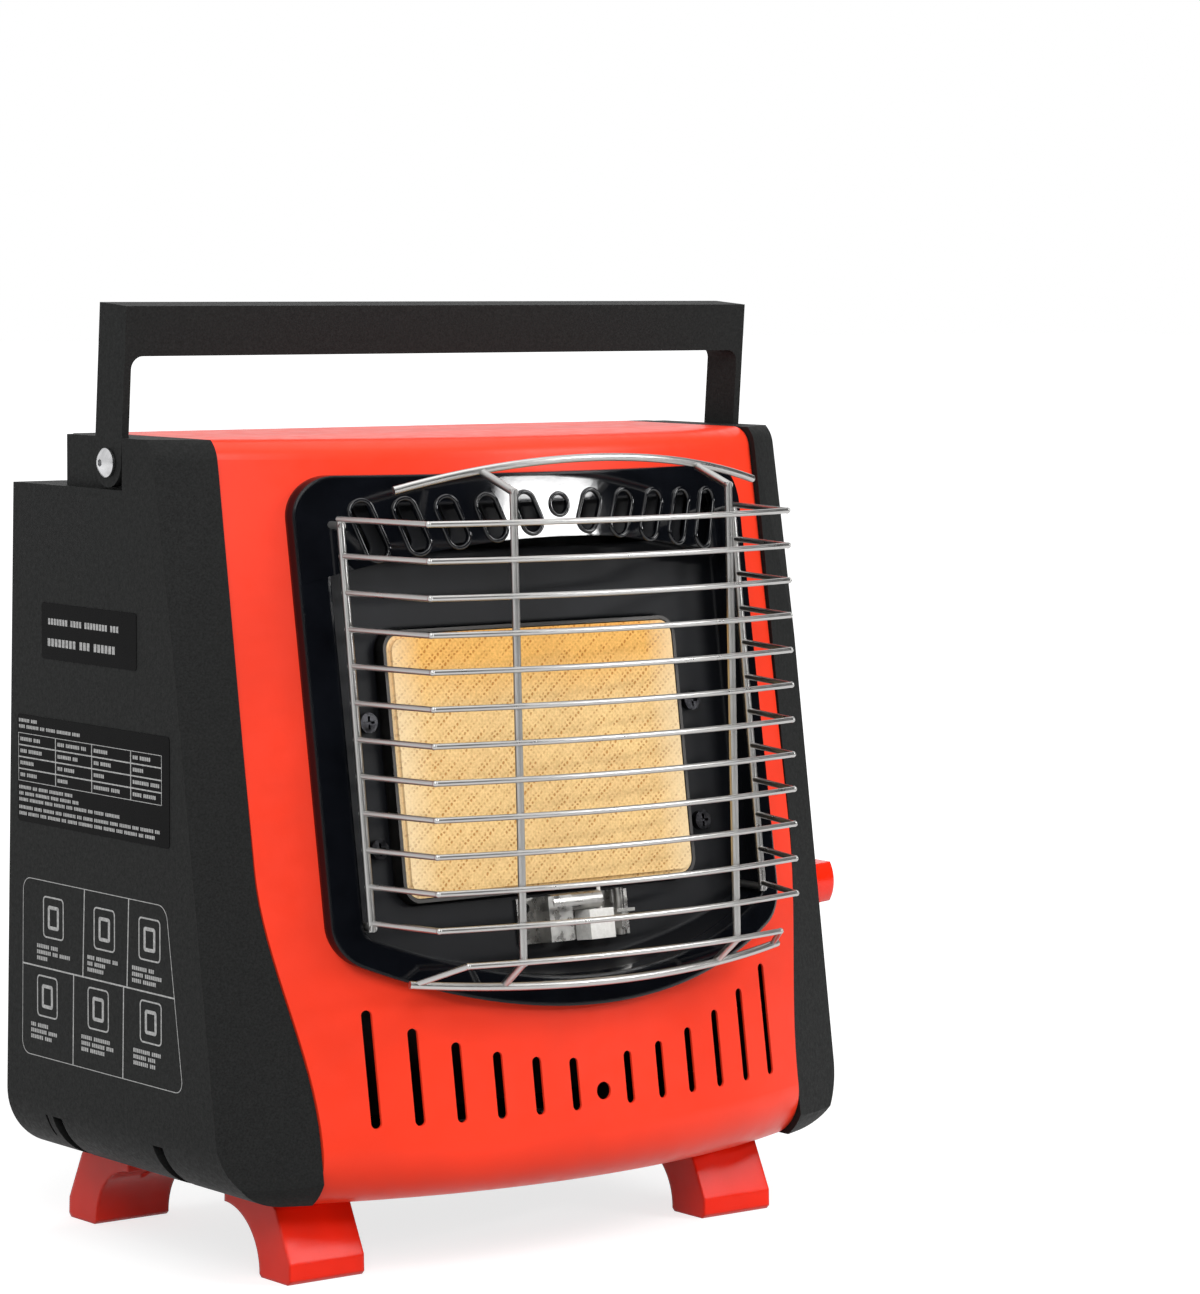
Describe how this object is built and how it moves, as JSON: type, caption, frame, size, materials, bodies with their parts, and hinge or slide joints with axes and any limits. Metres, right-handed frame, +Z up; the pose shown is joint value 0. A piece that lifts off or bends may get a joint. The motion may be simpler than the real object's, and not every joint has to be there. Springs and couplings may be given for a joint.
{
  "type": "portable gas heater",
  "caption": "Portable cabinet gas heater with a bowed front, a ceramic burner plaque behind a wire guard, a folding carry handle, a side knob, a rear cartridge door and splayed feet.",
  "frame": {"origin": "centre of the bounding box, on the floor under the feet, with the handle raised", "axes": "+X to the right of the heater as seen from its front, towards the knob; +Y towards the rear door; +Z up"},
  "size_m": [0.2625, 0.1756, 0.2913],
  "materials": {
    "red_paint": "satin",
    "cover_plastic": "fine grained",
    "black_sheet": "satin",
    "galvanised": "satin",
    "screw_steel": "polished",
    "door_plastic": "fine grained",
    "handle_plastic": "fine grained",
    "foot_plastic": "gloss",
    "black_enamel": "gloss enamel",
    "guard_wire": "polished",
    "burner_steel": "satin",
    "plaque": "fine perforated",
    "black_screw": "gloss",
    "nickel": "nickel plated",
    "white_ceramic": "glazed",
    "die_cast": "as cast",
    "brass": "satin",
    "knob_plastic": "gloss",
    "inner_plastic": "plain",
    "lead_sleeve": "silicone sleeve"
  },
  "bodies": {
    "cabinet": {"front_panel": "red_paint", "side_cover_left": "cover_plastic", "side_cover_right": "cover_plastic", "rear_panel": "black_sheet", "base_plate": "black_sheet", "chassis_left": "galvanised", "chassis_right": "galvanised", "heat_shield": "galvanised", "cover_screws": "screw_steel", "door_pins": "screw_steel", "handle_screws": "screw_steel", "foot_front_left": "foot_plastic", "foot_front_right": "foot_plastic", "foot_rear_left": "foot_plastic", "foot_rear_right": "foot_plastic", "foot_screws": "screw_steel", "reflector": "black_enamel", "guard": "guard_wire", "guard_posts": "guard_wire", "guard_stays": "guard_wire", "guard_hoops": "guard_wire", "guard_low_wire": "guard_wire", "burner_box": "burner_steel", "burner_tile": "plaque", "burner_screws": "black_screw", "pilot_bracket": "nickel", "electrode": "white_ceramic", "thermocouple": "nickel", "regulator": "die_cast", "valve_collar": "brass", "gas_pipe": "brass", "injector": "brass", "cartridge_cradle": "black_sheet", "igniter": "inner_plastic", "ignition_lead": "lead_sleeve"},
    "carry_handle": {"handle": "handle_plastic"},
    "door": {"rear_door": "door_plastic"},
    "control": {"knob": "knob_plastic", "valve_stem": "brass"},
    "lever": {"lock_lever": "screw_steel"}
  },
  "joints": [
    {"name": "handle_fold", "type": "hinge", "parent": "cabinet", "child": "carry_handle", "pos_m": [-0.00875, 0.02158, 0.2434], "axis": [-1, 0, 0], "range_deg": [0, 94]},
    {"name": "door_swing", "type": "hinge", "parent": "cabinet", "child": "door", "pos_m": [-0.00875, 0.08388, 0.046], "axis": [-1, 0, 0], "range_deg": [0, 100]},
    {"name": "knob_turn", "type": "hinge", "parent": "cabinet", "child": "control", "pos_m": [0.11125, -0.00242, 0.1], "axis": [1, 0, 0], "range_deg": [0, 100]},
    {"name": "lever_turn", "type": "hinge", "parent": "cabinet", "child": "lever", "pos_m": [0.07425, 0.04058, 0.068], "axis": [-1, 0, 0], "range_deg": [0, 40]}
  ]
}
